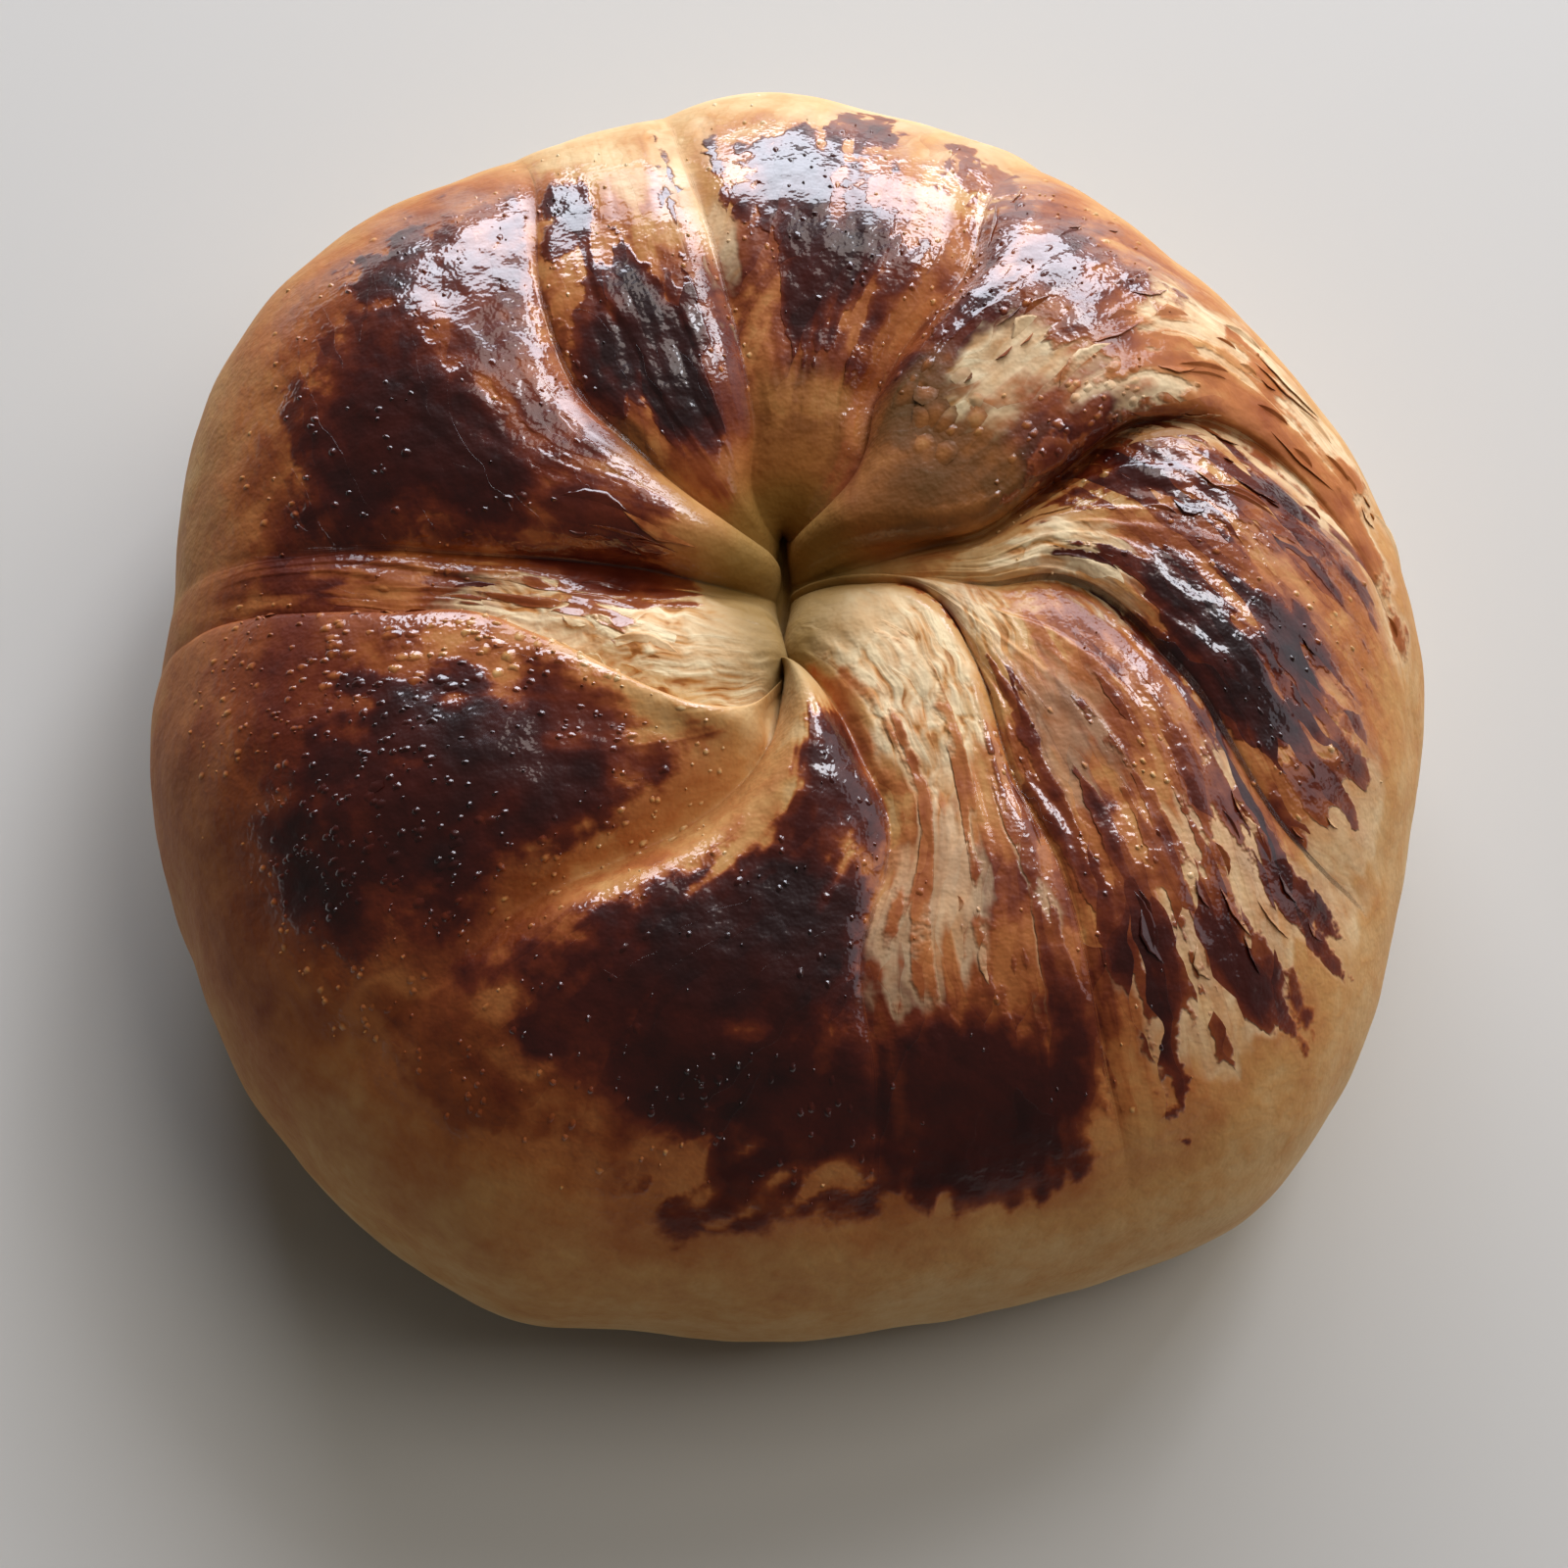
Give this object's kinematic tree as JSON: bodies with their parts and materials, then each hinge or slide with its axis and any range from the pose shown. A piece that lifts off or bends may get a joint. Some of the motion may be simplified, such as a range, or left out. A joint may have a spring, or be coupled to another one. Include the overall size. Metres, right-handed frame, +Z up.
{
  "type": "acma bread ring",
  "caption": "Round ring bun of twisted, buttered dough with a dimple where its hole has risen shut, folded strands on top and a flat base.",
  "frame": {"origin": "middle of the footprint of the bun, on the surface it rests on", "axes": "+Z up out of the hole, -Y towards the front of the bun, +X to its right"},
  "size_m": [0.1222, 0.1256, 0.0502],
  "materials": {
    "crust": "baked dough crust, glossy and dark where the egg wash browned, satin golden to pale cream elsewhere"
  },
  "bodies": {
    "root": {"bun": "crust"}
  },
  "joints": []
}
